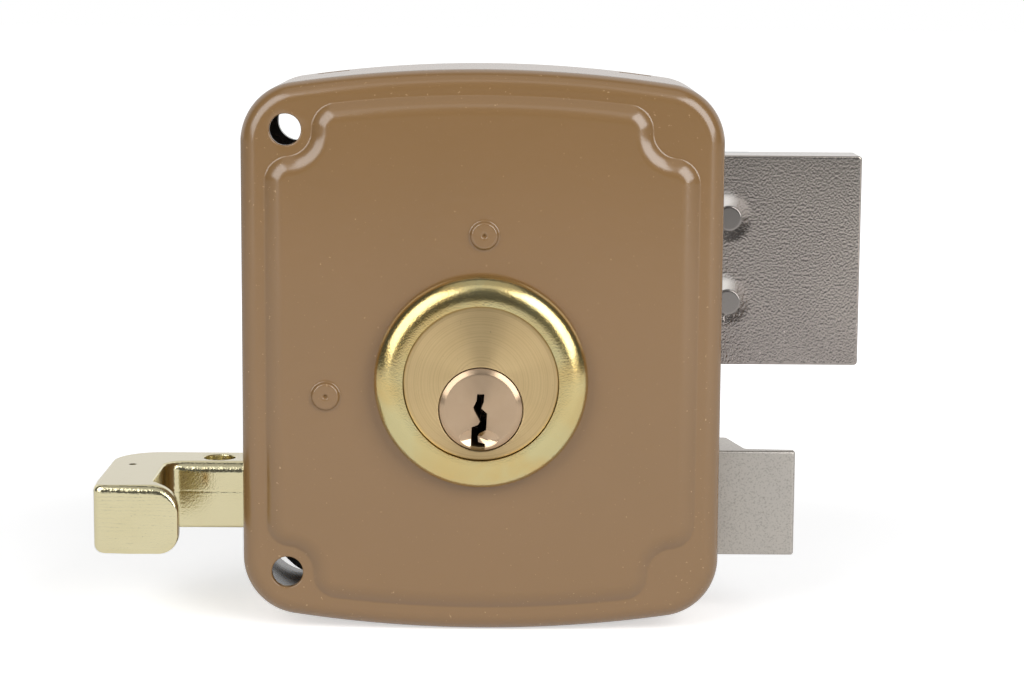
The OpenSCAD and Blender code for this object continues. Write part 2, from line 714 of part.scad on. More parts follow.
// Hooked pull: its tail slides through the case's side, its pad stands in front of it
module finger_pull() {
    x0 = -half_w - pull_out;
    xp = x0 + pad_w;
    xn = x0 + neck_w;
    xt = xn + throat_r;
    pad_y1 = pad_t - pad_front;
    ym = (pull_y0 + pad_y1)/2;
    socket_h = pull_h/2 - 2.5 + seat;
    plan = concat([[-half_w + pull_in, y_bolt], [x0 + bend_r, y_bolt]],
        [for (i=[1:6]) [x0 + bend_r - bend_r*sin(i*15), y_bolt - bend_r + bend_r*cos(i*15)]],
        [for (i=[0:4]) [x0 + 1.8 - 1.8*cos(i*22.5), -pad_front + 1.8 - 1.8*sin(i*22.5)]],
        [for (i=[0:3]) [xp - 1.3 + 1.3*sin(i*30), -pad_front + 1.3 - 1.3*cos(i*30)]],
        [[xp, pad_y1 - 0.6], [xp - 0.6, pad_y1]],
        [for (i=[0:5]) [xt - throat_r*sin(i*18), pad_y1 + throat_r - throat_r*cos(i*18)]],
        [for (i=[0:5]) [xt - throat_r*cos(i*18), pull_y0 - throat_r + throat_r*sin(i*18)]],
        [[-half_w + pull_in, pull_y0]]);
    color("#c8bd86")
    difference() {
        translate([0, 0, pull_z0]) linear_extrude(pull_h) polygon(plan);
        block([-half_w - pull_pin_x - 4 - seat, pull_y0 + 2.5 - seat, -latch_z - socket_h],
            [-half_w + pull_in + cut, y_bolt - 2.5 + seat, -latch_z + socket_h]);
        translate([-half_w - pull_pin_x, (pull_y0 + y_bolt)/2, pull_z0]) {
            translate([0, 0, 1.5]) cylinder(r=pull_hole_d/2 - 1, h=pull_h/2);
            translate([0, 0, pull_h/2]) cylinder(r=pull_hole_d/2, h=pull_h);
        }
        for (c=[[1, 4.5], [-1, 3.4]]) let(zc=-latch_z + c[0]*(pull_h/2 - c[1]), xc=xp - c[1])
            difference() {
                block([xc, -pad_front - cut, min(zc, zc + c[0]*(c[1] + cut))],
                    [xp + cut, ym, max(zc, zc + c[0]*(c[1] + cut))]);
                rod(xc, zc, c[1], -pad_front - 2*cut, ym + cut);
            }
    }
}

// Pin that holds the pull on the latch's tongue, sunk in the pull's hole
module pull_pin() {
    tongue = pull_h/2 - 2.5;
    color("#9a9a96")
    translate([-half_w - pull_pin_x, (pull_y0 + y_bolt)/2, -latch_z]) {
        translate([0, 0, -pull_h/2 + 1.5 + seat]) cylinder(r=pull_hole_d/2 - 1 - seat, h=pull_h/2);
        translate([0, 0, -2]) cylinder(r=pull_hole_d/2 - 1 - seat, h=tongue + 2.5);
        translate([0, 0, tongue + 2*seat]) cylinder(r=pull_hole_d/2 - seat, h=1);
    }
}

// Torsion spring on its post: one leg on the case's side, one behind the latch's peg
leg_a = 150;
coil_turns = 4 + leg_a/360;
coil_y0 = y_inside + 5;
module latch_spring() {
    n = round(coil_turns*8);
    leg = (half_w - sheet - wire_d/2 - 0.1 - spring_x + coil_r*cos(leg_a))/sin(leg_a);
    foot_z = pull_z1 - peg_r - 3.5;
    c = [-spring_x, 0, -spring_z];
    coil = [for (i=[0:n]) let(a=leg_a - i*coil_turns*360/n)
        c + [coil_r*cos(a), coil_y0 + coil_turns*coil_pitch*i/n, coil_r*sin(a)]];
    far = coil[0] - leg*[sin(leg_a), 0, -cos(leg_a)];
    end = [coil[n][0], coil[n][1], foot_z];
    echo("least gap of the latch spring", coil_pitch - wire_d);
    color("#8f8f8c") wire(concat([far], coil, [end]), wire_d/2);
}

case();
case_rivets();
back_plate();
plate_screw();
guide_post();
spring_post();
cylinder_ring();
cylinder_body();
cylinder_fork();
plug();
plug_clip();
drive_pinion();
key_pins();
driver_pins();
pin_springs();
chamber_caps();
deadbolt_head();
bolt_tail();
deadbolt_rivets();
latch_bolt();
finger_pull();
pull_pin();
latch_spring();
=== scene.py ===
from math import cos, pi, radians, sin

import bpy
import numpy as np
from mathutils import Matrix


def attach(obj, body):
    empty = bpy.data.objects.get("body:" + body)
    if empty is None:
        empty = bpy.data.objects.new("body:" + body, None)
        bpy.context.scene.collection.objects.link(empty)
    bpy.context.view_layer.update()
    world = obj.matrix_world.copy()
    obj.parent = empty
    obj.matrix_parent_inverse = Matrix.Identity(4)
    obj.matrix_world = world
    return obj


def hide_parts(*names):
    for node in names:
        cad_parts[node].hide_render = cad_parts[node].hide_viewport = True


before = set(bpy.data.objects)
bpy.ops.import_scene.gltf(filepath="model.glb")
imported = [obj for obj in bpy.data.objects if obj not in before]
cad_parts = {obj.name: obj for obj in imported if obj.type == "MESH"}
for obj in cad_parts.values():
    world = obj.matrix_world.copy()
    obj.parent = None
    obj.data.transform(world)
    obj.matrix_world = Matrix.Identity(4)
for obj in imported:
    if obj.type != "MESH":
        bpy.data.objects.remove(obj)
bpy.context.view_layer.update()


# Case: the painted shell that covers the works, pressed from 1.2 mm steel sheet with a raised
# panel and scalloped corners, then powder coated satin brown. The bolts' windows, the lug
# slots and the fixing holes are pierced in it. Millimetres in all meshes, scaled when made.
def arc(centre, radius, start, end, count, side=1):
    """Rows x, z, normal x, normal z on a circle between two angles in degrees; side is -1
    where the piece lies outside the circle."""
    a = np.radians(np.linspace(start, end, count + 1))
    way = np.stack([np.cos(a), np.sin(a)], 1)
    return np.hstack([np.asarray(centre) + radius*way, side*way])


def four_quarters(q):
    """A quarter outline, from the right side to the top's middle, mirrored to a whole one."""
    left = (q*[-1, 1, -1, 1])[::-1][1:]
    right = (q*[1, -1, 1, -1])[::-1][1:]
    return np.vstack([q, left, -q, right])


def closed_skin(rings, joined=False):
    """Points and faces of a solid from equal rings of points, m by n by 3: four-sided faces
    between neighbours, and a flat face on each end, or the last ring joined to the first.
    Faces are turned outwards by the sign of the volume that they enclose."""
    rings = np.asarray(rings, float)
    m, n = rings.shape[:2]
    k = np.arange(m*n).reshape(m, n)
    a, b = (k, np.roll(k, -1, 0)) if joined else (k[:-1], k[1:])
    quads = np.stack([a, np.roll(a, -1, 1), np.roll(b, -1, 1), b], -1).reshape(-1, 4)
    ends = [] if joined else [k[0][::-1], k[-1]]
    p = rings.reshape(-1, 3)
    fans = [np.stack([np.full(n - 2, e[0]), e[1:-1], e[2:]], 1) for e in ends]
    tri = np.vstack([quads[:, [0, 1, 2]], quads[:, [0, 2, 3]], *fans])
    volume = np.einsum("ij,ij->", p[tri[:, 0]], np.cross(p[tri[:, 1]], p[tri[:, 2]]))
    faces = quads.tolist() + [e.tolist() for e in ends]
    return p, faces if volume > 0 else [f[::-1] for f in faces]


def joined_solids(solids):
    """Several solids' points and faces as one list of each."""
    starts = np.cumsum([0] + [len(p) for p, _ in solids])
    faces = [[i + s for i in f] for (_, fs), s in zip(solids, starts) for f in fs]
    return np.vstack([p for p, _ in solids]), faces


def make(name, points, faces):
    """A new object at the origin, from points in millimetres."""
    mesh = bpy.data.meshes.new(name)
    mesh.from_pydata((np.asarray(points)*0.001).tolist(), [], faces)
    obj = bpy.data.objects.new(name, mesh)
    bpy.context.scene.collection.objects.link(obj)
    return obj


def cut_out(obj, solids):
    """Takes closed solids away from a piece and keeps the result as its mesh."""
    tool = make("tool", *joined_solids(solids))
    step = obj.modifiers.new("cut", "BOOLEAN")
    step.object = tool
    step.solver = "EXACT"
    bpy.context.view_layer.update()
    old = obj.data
    cut = bpy.data.meshes.new_from_object(
        obj.evaluated_get(bpy.context.evaluated_depsgraph_get()))
    obj.modifiers.clear()
    obj.data = cut
    spare = tool.data
    bpy.data.objects.remove(tool)
    bpy.data.meshes.remove(spare)
    bpy.data.meshes.remove(old)


def finish_piece(obj, body, material, slot, *nodes, sharp=35):
    """Smooth shading with edges sharper than the given angle kept, then the material, the
    body that carries the piece and the nodes that it stands for."""
    mesh = obj.data
    mesh.polygons.foreach_set("use_smooth", np.ones(len(mesh.polygons), bool))
    mesh.set_sharp_from_angle(angle=radians(sharp))
    mesh.materials.clear()
    mesh.materials.append(material)
    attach(obj, body)
    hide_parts(*nodes)


def turned(profile, x, z, count=128):
    """A profile of radius and y, turned about an axis along Y through x, z."""
    a = np.linspace(0, 2*pi, count, endpoint=False)
    r, y = np.asarray(profile, float).T
    return np.stack([x + r[:, None]*np.cos(a), np.broadcast_to(y[:, None], (len(r), count)),
                     z + r[:, None]*np.sin(a)], -1)


def block(low, high):
    """A box between two corners, as two rings of four."""
    (x0, y0, z0), (x1, y1, z1) = low, high
    return closed_skin([[(x0, y, z0), (x1, y, z0), (x1, y, z1), (x0, y, z1)] for y in (y0, y1)])


# The case's middle stands case_rise above the cylinder's axis. The panel's foot is inset from
# the outline, and fix is a fixing hole's place from the middle.
case_w, case_h, case_rise = 80, 94.2, 4.1
sheet, corner_r, bow_r, edge_r = 1.2, 10, 215, 3
y_rim, y_panel, panel_rise = -28.6, -30, 1.4
panel_inset, panel_slope, scallop_r, blend_r = 4.2, 3.2, 4.4, 4.2
fix, fix_r, cylinder_r = np.array([32.4, 37.1]), 2.6, 12.3
rivet_places, rivet_hole_r = [(0.4, 24.1), (-25.8, -2.8)], 1.55
lug_x, lug_w, lug_y = 26, 5.5, (-5.25, -2.75)

# Windows for the deadbolt, the latch and the pull: which side wall, then limits in y and in z.
windows = [(1, (-13.55, -2.65), (-0.05, 36.65)),
           (1, (-16.75, -2.65), (-32.65, -13.75)),
           (-1, (-13.05, -2.65), (-29.35, -17.05))]


def heading(v):
    """A direction's angle in degrees."""
    return np.degrees(np.arctan2(v[1], v[0]))


# The outline: straight side, corner arc and bowed top. The panel's foot: a scallop round the
# corner hole between two blending arcs, with as many points in each stretch.
bow_c = np.array([0, case_h/2 - bow_r])
corner_x = case_w/2 - corner_r
corner_c = np.array([corner_x, bow_c[1] + np.sqrt((bow_r - corner_r)**2 - corner_x**2)])
corner_a = heading(corner_c - bow_c)
case_line = four_quarters(np.vstack([arc(corner_c, corner_r, 0, corner_a, 54),
                                     arc(bow_c, bow_r, corner_a, 90, 20)[1:]]))
reach = scallop_r + blend_r
side_x = case_w/2 - panel_inset - blend_r
side_c = np.array([side_x, fix[1] - np.sqrt(reach**2 - (side_x - fix[0])**2)])
to_bow = bow_c - fix
span = np.hypot(*to_bow)
foot_r = bow_r - panel_inset
top_a = heading(to_bow) - np.degrees(np.arccos(
    (reach**2 + span**2 - (foot_r - blend_r)**2)/(2*reach*span)))
top_c = fix + reach*np.array([cos(radians(top_a)), sin(radians(top_a))])
side_a = heading(fix - side_c)
top_a += 360*(top_a < 0)
foot_a = heading(top_c - bow_c)
panel_line = four_quarters(np.vstack([arc(side_c, blend_r, 0, side_a, 18),
                                      arc(fix, scallop_r, side_a + 180, top_a, 18, -1)[1:],
                                      arc(top_c, blend_r, top_a - 180, foot_a, 18)[1:],
                                      arc(bow_c, foot_r, foot_a, 90, 20)[1:]]))


def pressing(d, r, ease=0.2):
    """One side of the sheet, d inside the outer one, from the door to the panel: a wall, a
    quarter round of radius r, a flat rim and the panel's edge, each between close rings. The
    edge is a parabola, steepest at its foot, where a short one turned over eases it in. The
    inner side's edge lies a third of d further in, which about keeps the sheet's thickness."""
    a = np.radians(np.linspace(0, 90, 15))
    steep = 2*panel_rise/panel_slope
    u = np.concatenate([np.linspace(-ease, ease, 7), np.linspace(ease, panel_slope, 24)[1:]])
    h = np.where(u <= ease, steep*(1 - ease/panel_slope)*(u + ease)**2/(4*ease),
                 steep*(u - u*u/(2*panel_slope)))
    wall = [(case_line, d, 0), (case_line, d, y_rim + d + r + 0.3)]
    turn = [(case_line, d + r*(1 - cos(v)), y_rim + d + r - r*sin(v)) for v in a]
    rim = [(case_line, d + r + 0.25, y_rim + d), (panel_line, d/3 - ease - 0.15, y_rim + d)]
    slope = [(panel_line, d/3 + i, y_rim + d - rise) for i, rise in zip(u, h)]
    field = [(panel_line, d/3 + panel_slope + 0.3, y_panel + d)]
    return [np.column_stack([line[:, 0] - i*line[:, 2], np.full(len(line), y),
                             line[:, 1] - i*line[:, 3] + case_rise])
            for line, i, y in wall + turn + rim + slope + field]


def lug_slot(side, turn):
    """The slot for one lug of the back plate, square to the bowed wall."""
    p, faces = block((-lug_w/2, lug_y[0], bow_r - sheet - 1), (lug_w/2, lug_y[1], bow_r + 1))
    a = side*np.arcsin(lug_x/bow_r)
    x = p[:, 0]*np.cos(a) + p[:, 2]*np.sin(a)
    z = p[:, 2]*np.cos(a) - p[:, 0]*np.sin(a) + case_h/2 - bow_r
    return np.stack([turn*x, p[:, 1], turn*z + case_rise], 1), faces


def side_window(side, y, z):
    """A window's cutter through the left or right wall, 1 mm past the sheet on both sides."""
    x = sorted([side*(case_w/2 - sheet - 1), side*(case_w/2 + 1)])
    return block(*zip(x, y, z))


def drilled(x, z, r, y, count):
    """A plain hole's cutter, from 1 mm before the sheet's face to 3 mm behind it."""
    return closed_skin(turned([(r, y - 1), (r, y + 3)], x, z, count))


def pierced(x, z, r, y, lip=0.28):
    """A hole's cutter: a cylinder that flares at the sheet's face by a small quarter round."""
    a = np.radians(np.linspace(0, 90, 7))
    flare = np.stack([r + lip*(1 - np.sin(a)), y + lip*(1 - np.cos(a))], 1)
    return closed_skin(turned([(r + lip, y - 1), *flare, (r, y + 3)], x, z, 72))


case = make("case_shell",
            *closed_skin(pressing(sheet, edge_r - sheet)[::-1] + pressing(0, edge_r)))
cut_out(case, [
    pierced(-fix[0], case_rise + fix[1], fix_r, y_rim),
    pierced(-fix[0], case_rise - fix[1], fix_r, y_rim),
    drilled(0, 0, cylinder_r, y_panel, 126),
    *[drilled(x, z, rivet_hole_r, y_panel, 32) for x, z in rivet_places],
    *[side_window(*window) for window in windows],
    *[lug_slot(side, turn) for side in (-1, 1) for turn in (-1, 1)]])


def lin(code):
    """An sRGB hex colour as linear red, green, blue and alpha."""
    c = np.array([int(code[i:i + 2], 16) for i in (0, 2, 4)])/255
    return (*np.where(c <= 0.04045, c/12.92, ((c + 0.055)/1.055)**2.4), 1)


def connect(tree, node, inputs):
    """Sets a node's inputs: each takes a value, or a socket that feeds it."""
    for key, value in inputs.items():
        if isinstance(value, bpy.types.NodeSocket):
            tree.links.new(value, node.inputs[key])
        else:
            node.inputs[key].default_value = value


def add(tree, kind, inputs=None, **settings):
    """Adds a node with its settings and inputs, and gives its outputs."""
    node = tree.nodes.new("ShaderNode" + kind)
    for key, value in settings.items():
        setattr(node, key, value)
    connect(tree, node, inputs or {})
    return node.outputs


def noise(tree, where, scale, detail, **more):
    """A cloudy pattern from 0 to 1 over a place in millimetres."""
    return add(tree, "TexNoise", {"Vector": where, "Scale": scale, "Detail": detail, **more})["Fac"]


def blend(tree, share, first, second):
    """A colour between two, each a hex code or a socket."""
    one, two = [lin(c) if isinstance(c, str) else c for c in (first, second)]
    return add(tree, "MixRGB", {"Fac": share, "Color1": one, "Color2": two})["Color"]


def spread(tree, value, low, high, start=0, end=1, **settings):
    """A value taken from the range low to high to the range start to end, and held beyond it."""
    return add(tree, "MapRange", {"Value": value, "From Min": low, "From Max": high,
                                  "To Min": start, "To Max": end}, **settings)["Result"]


def reckon(tree, kind, operation, *values):
    """A number worked out from others by a Math or VectorMath node."""
    return add(tree, kind, dict(enumerate(values)), operation=operation)["Value"]


def raised(tree, height, microns, **more):
    """The normal of a surface with a pattern of heights on it, so many micrometres deep."""
    return add(tree, "Bump", {"Height": height, "Distance": microns*1e-6, **more})["Normal"]


def begin(name):
    """A new material: its tree, its shader, and Object coordinates in millimetres."""
    material = bpy.data.materials.new(name)
    material.use_nodes = True
    tree = material.node_tree
    where = add(tree, "TexCoord")["Object"]
    mm = add(tree, "Mapping", {"Vector": where, "Scale": (1000, 1000, 1000)})["Vector"]
    return material, tree, tree.nodes["Principled BSDF"], mm


# Polyester powder coat, semi-gloss: an even brown film with a slight orange-peel skin of 1.5 mm
# and a few pale specks of about 0.4 mm where single grains of powder stand proud.
paint, tree, shader, mm = begin("brown_powder_coat")
coat = blend(tree, noise(tree, mm, 0.035, 3), "80623d", "866641")
speck = spread(tree, noise(tree, mm, 1.9, 1), 0.72, 0.82)
peel = raised(tree, noise(tree, mm, 0.65, 2), 12)
connect(tree, shader, {
    "Base Color": blend(tree, speck, coat, "a98a62"), "Roughness": 0.2,
    "Specular IOR Level": 0.85, "Normal": raised(tree, speck, 10, Normal=peel)})
finish_piece(case, "lock_case", paint, "paint", "case")


# Case rivets: two steel rivets that hold the posts behind the panel, set before painting, so
# the paint runs up to them in a small fillet. Low buttons with a pit left by the setting tool.
head_h, top_r, shoulder_r, pit_depth, pit_r = 0.72, 1.82, 0.48, 0.5, 0.3
fillet_r, fillet_w, fillet_h, shank_r, shank_end = 2.74, 0.42, 0.2, 1.5, -6.2


def button(x, z):
    """Radius and height from the middle out: a pit, a flat top, a round shoulder, a quarter
    hollow of paint at the foot, and the shank."""
    a = np.radians(np.linspace(0, 90, 10))
    r = np.linspace(0.02, top_r - 0.02, 24)
    top = np.stack([r, head_h - pit_depth*np.exp(-(r/pit_r)**2)], 1)
    shoulder = np.stack([top_r + shoulder_r*np.sin(a), head_h - shoulder_r*(1 - np.cos(a))], 1)
    fillet = np.stack([fillet_r - fillet_w*np.cos(a), fillet_h*(1 - np.sin(a))], 1)
    shank = [(fillet_r, -0.1), (shank_r, -0.1), (shank_r, shank_end)]
    profile = [(r, y_panel - h) for r, h in [*top, *shoulder, *fillet, *shank]]
    return closed_skin(turned(profile, x, z, 64))


rivets = make("case_rivet_heads", *joined_solids([button(x, z) for x, z in rivet_places]))
finish_piece(rivets, "lock_case", paint, "paint", "case_rivets")


# Back plate, its screw, the two posts, the cylinder's fork, the pinion, the bolt's tail plate
# and the pull's pin: blanked and turned steel, zinc plated. Their forms are the frame's own.
# Zinc leaves a soft grey sheen with cloudy patches of about 8 mm and fine grain.
def plate(material, *names):
    """Gives the frame's own nodes a material."""
    for name in names:
        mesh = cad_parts[name].data
        mesh.materials.clear()
        mesh.materials.append(material)


zinc, tree, shader, mm = begin("zinc_plated_steel")
cloud = noise(tree, mm, 0.12, 4, Distortion=0.6)
connect(tree, shader, {
    "Base Color": blend(tree, cloud, "9b9da0", "b9b8b4"), "Metallic": 1,
    "Roughness": spread(tree, cloud, 0, 1, 0.18, 0.34),
    "Normal": raised(tree, noise(tree, mm, 2.2, 3), 10)})
plate(zinc, "back_plate", "plate_screw", "guide_post", "spring_post", "cylinder_fork", "bolt_tail",
      "drive_pinion", "pull_pin")


# Ring: a convex collar round the key cylinder, pressed from sheet steel and brass plated. The
# cylinder's flange clamps it to the panel, and its crest stands a little above the flange.
# Its section is a quarter of an ellipse on a low skirt, then a flat land up to the flange.
ring_r, dome_w, dome_h, skirt_h = 17.7, 4.1, 2.6, 1.5
land_r, seat_r, seat_y = 13.1, 12.85, -31.1
crest_y = y_panel - skirt_h - dome_h
ring_a = np.radians(np.linspace(0, 90, 60))
dome = np.stack([ring_r - dome_w*(1 - np.cos(ring_a)),
                 y_panel - skirt_h - dome_h*np.sin(ring_a)], 1)
land = [(land_r, crest_y), (seat_r + 0.03, crest_y + 0.01), (seat_r, crest_y + 0.05)]
ring = make("brass_ring", *closed_skin(turned(
    [(ring_r, y_panel), *dome, *land, (seat_r, seat_y), (cylinder_r, seat_y),
     (cylinder_r, y_panel)], 0, 0, 256), joined=True))

# Bright brass plating under clear lacquer: a yellow metal with a thin uneven film, greener in
# patches of about 10 mm, and a fine tooth of 0.3 mm that breaks the edges of its reflections.
plating, tree, shader, mm = begin("bright_brass_plating")
patch = spread(tree, noise(tree, mm, 0.1, 4, Distortion=0.5), 0.35, 0.65)
connect(tree, shader, {
    "Base Color": blend(tree, patch, "d0b472", "cdc18c"), "Metallic": 1, "Roughness": 0.19,
    "Coat Weight": 0.6, "Coat Roughness": 0.1, "Coat IOR": 1.6,
    "Normal": raised(tree, noise(tree, mm, 3.4, 2), 28)})
finish_piece(ring, "lock_case", plating, "brass", "cylinder_ring")


# Key cylinder: a turned brass body with a flange, bored off centre for the plug. Its flange
# bears on the ring, and a fork behind the panel grips two flats, so that it can't turn. The face
# falls away by the square of its radius, by the crown's height at the rim.
plug_z, face_y, body_end, crown, crown_r = -4.3, -33.5, -13.1, 0.15, 12.75
flange_profile = [(12.4, face_y), (12.6, face_y), (12.67, -33.49), (12.73, -33.45), (12.77, -33.39),
                  (12.79, -33.3), (12.79, seat_y), (12.2, seat_y), (12.2, body_end)]
bore_profile = [(6.55, body_end), (6.55, -31.85), (7.02, -31.85), (7.02, -33.42), (7.05, -33.48),
                (7.12, face_y), (7.3, face_y)]
flange = turned(flange_profile, 0, 0, 192)
bore = turned(bore_profile, 0, plug_z, 192)
t = np.linspace(0, 1, 8)[1:-1, None, None]
body = np.concatenate([bore, bore[-1]*(1 - t) + flange[0]*t, flange])
fall = crown*(body[..., 0]**2 + body[..., 2]**2)/crown_r**2
body[..., 1] += np.where(body[..., 1] < face_y + 0.5, fall, 0)
cylinder = make("key_cylinder", *closed_skin(body, joined=True))


def turning(tree, mm, axis_z, scale):
    """What a lathe leaves about an axis along Y: the tangent round it, and the tool's uneven
    feed, a noise of the radius."""
    circles = add(tree, "Tangent", direction_type="RADIAL", axis="Y")["Tangent"]
    across = add(tree, "Mapping", {"Vector": mm, "Location": (0, 0, -axis_z),
                                   "Scale": (1, 0, 1)})["Vector"]
    radius = reckon(tree, "VectorMath", "LENGTH", across)
    feed = add(tree, "TexNoise", {"W": radius, "Scale": scale, "Detail": 3}, noise_dimensions="1D")
    return circles, feed["Fac"]


# Turned brass: fine rings of uneven depth left by the tool, so that its sheen runs radially,
# with the deeper rings painted darker as painted shade, a few dark pits and a dull film.
turned_brass, tree, shader, mm = begin("turned_brass")
circles, feed = turning(tree, mm, 0, 3.5)
film = blend(tree, noise(tree, mm, 0.2, 4), "c9ae7f", "d2b98b")
# Painted shade: the deeper tool rings are painted a darker brass.
groove_painted_shade = blend(tree, spread(tree, feed, 0.45, 0.7, 0, 0.28), film, "a48b5f")
pit = spread(tree, noise(tree, mm, 1.6, 2), 0.73, 0.82)
connect(tree, shader, {
    "Base Color": blend(tree, pit, groove_painted_shade, "a08a66"), "Metallic": 1, "Roughness": 0.33,
    "Anisotropic": 0.85, "Anisotropic Rotation": 0.25, "Tangent": circles,
    "Normal": raised(tree, feed, 10)})
finish_piece(cylinder, "lock_case", turned_brass, "brass", "cylinder_body")
plate(turned_brass, "key_pins", "chamber_caps")


# Plug: the part that the key turns, turned from nickel brass, with a chamfered face, a broached
# keyway and a wide oval dimple that leads the key in. A snap ring holds it in the cylinder, and
# its tail has two flats.
plug_y, keyway_end, tail_half = -33.7, -13.7, 1.45
oval_w, oval_h, oval_x, oval_z, oval_lean = 3.3, 1.8, -0.35, plug_z - 4.75, 0.1
plug_profile = [(0.02, plug_y), (5.6, plug_y), (5.9, plug_y), (5.97, -33.69), (6.05, -33.66),
                (6.74, -33.34), (6.81, -33.29), (6.84, -33.22), (6.84, -33), (6.84, -31.95),
                (6.5, -31.95), (6.5, body_end), (4.2, body_end), (4.2, -12.2), (5, -12.2),
                (5, -9.8), (1.9, -9.8), (1.9, -4.8)]
plug_rings = turned(plug_profile, 0, plug_z, 160)
plug_rings[-2:, :, 0] = np.clip(plug_rings[-2:, :, 0], -tail_half, tail_half)
plug = make("plug_face", *closed_skin(plug_rings))
keyway = np.array([(-0.6, 2.6), (-0.7, 1.5), (-1.25, 0.4), (-1, -0.3), (-0.1, -1.95), (-0.45, -2.5),
                   (-1.5, -2.9), (-1.6, -5.2), (-1.7, -8), (0.7, -8), (0.7, -5.75), (-0.4, -5.5),
                   (-0.5, -4.6), (-0.2, -4), (0.9, -3.4), (1.05, -0.6), (0.1, 0.25), (0.5, 1.3),
                   (0.6, 2.6)])
lead_in = turned([(1.15, plug_y - 0.3), (1, plug_y), (0.1, plug_y + 1.1)], 0, 0, 96)
lead_in = lead_in*[oval_w, 1, oval_h]
lead_in[..., 1] -= oval_lean*lead_in[..., 2]
cut_out(plug, [closed_skin(lead_in + [oval_x, 0, oval_z])])
cut_out(plug, [closed_skin([np.insert(keyway + [0, plug_z], 1, y, axis=1)
                            for y in (plug_y - 1.3, keyway_end)])])

# Turned nickel brass: paler and pinker than brass, faced with a fine even feed and smoother in
# the dimple. Inside the keyway it is painted dark with depth, as painted shade.
nickel_brass, tree, shader, mm = begin("turned_nickel_brass")
circles, feed = turning(tree, mm, plug_z, 5)
metal = blend(tree, noise(tree, mm, 0.4, 3), "bda285", "c6ad91")
inside = add(tree, "SeparateXYZ", {"Vector": mm})["Y"]
# Painted shade: darker with depth behind the plug's face, into the keyway.
keyway_shade = spread(tree, inside, plug_y + 0.5, plug_y + 2.1, 0, 0.85)
oval = add(tree, "Mapping", {"Vector": mm, "Scale": (1/oval_w, 0, 1/oval_h),
                             "Location": (-oval_x/oval_w, 0, -oval_z/oval_h)})["Vector"]
in_oval = reckon(tree, "VectorMath", "LENGTH", oval)
connect(tree, shader, {
    "Base Color": blend(tree, keyway_shade, metal, "33261a"), "Metallic": 1,
    "Roughness": spread(tree, in_oval, 0.85, 0.95, 0.1, 0.3), "Anisotropic": 0.8,
    "Anisotropic Rotation": 0.25, "Tangent": circles, "Normal": raised(tree, feed, 5)})
finish_piece(plug, "key_plug", nickel_brass, "nickel_brass", "plug", sharp=25)
plate(nickel_brass, "driver_pins")


# Springs: five small coils over the driver pins and the latch's torsion spring on its post,
# all wound from drawn steel wire. The snap ring on the plug's tail is the same steel.
def wire(path, radius, sides=12):
    """A round tube along a path: each ring stands square to the path's own direction."""
    path = np.asarray(path, float)
    way = np.gradient(path, axis=0)
    way /= np.linalg.norm(way, axis=1)[:, None]
    u = np.cross(way, [0.31, 0.2, 0.93])
    u /= np.linalg.norm(u, axis=1)[:, None]
    v = np.cross(way, u)
    a = np.linspace(0, 2*pi, sides, endpoint=False)[:, None]
    return closed_skin([p + radius*(np.cos(a)*i + np.sin(a)*j) for p, i, j in zip(path, u, v)])


spring_steel, tree, shader, mm = begin("drawn_spring_steel")
streak = noise(tree, mm, 1.5, 3)
connect(tree, shader, {
    "Base Color": blend(tree, streak, "86868a", "a6a5a2"), "Metallic": 1,
    "Roughness": spread(tree, streak, 0, 1, 0.22, 0.4)})

# The pin springs: a coil of four turns in each of five chambers, between a driver pin and a cap.
pin_count, pin_pitch, first_pin_y = 5, 3.4, -29.1
coil_r, coil_wire_r, coil_turns, coil_low, coil_high = 1.05, 0.2, 4, 10.06, 14.505
coil_a = np.linspace(0, 2*pi*coil_turns, 32*coil_turns + 1)
coil = np.stack([coil_r*np.cos(coil_a), 0*coil_a, np.linspace(coil_low, coil_high, len(coil_a))], 1)
pin_springs = make("pin_coil_springs", *joined_solids(
    [wire(coil + [0, first_pin_y + pin_pitch*i, plug_z], coil_wire_r, 8) for i in range(pin_count)]))
finish_piece(pin_springs, "lock_case", spring_steel, "spring_steel", "pin_springs")

# The latch spring: a coil on the left rivet's post, with one leg out to the case's wall and the
# other down to the latch's stud.
post_x, post_z = rivet_places[1]
hoop_r, hoop_wire_r, hoop_pitch, hoop_y, wall_gap, leg_z = 4.3, 0.6, 1.75, -23.8, 0.1, -22.5
hoop_start = radians(150)
hoop_turns = 4 + hoop_start/(2*pi)
hoop_a = hoop_start - np.linspace(0, 2*pi*hoop_turns, 160)
hoops = np.stack([post_x + hoop_r*np.cos(hoop_a), hoop_y + np.linspace(0, hoop_turns*hoop_pitch, 160),
                  post_z + hoop_r*np.sin(hoop_a)], 1)
wall_leg = ((case_w/2 - sheet - hoop_wire_r - wall_gap + post_x + hoop_r*cos(hoop_start))
            / sin(hoop_start))
wall_end = hoops[0] - wall_leg*np.array([sin(hoop_start), 0, -cos(hoop_start)])
stud_end = [hoops[-1, 0], hoops[-1, 1], leg_z]
latch_spring = make("latch_torsion_spring",
                    *wire(np.vstack([wall_end, hoops, stud_end]), hoop_wire_r, 14))
finish_piece(latch_spring, "lock_case", spring_steel, "spring_steel", "latch_spring")
plate(spring_steel, "plug_clip")


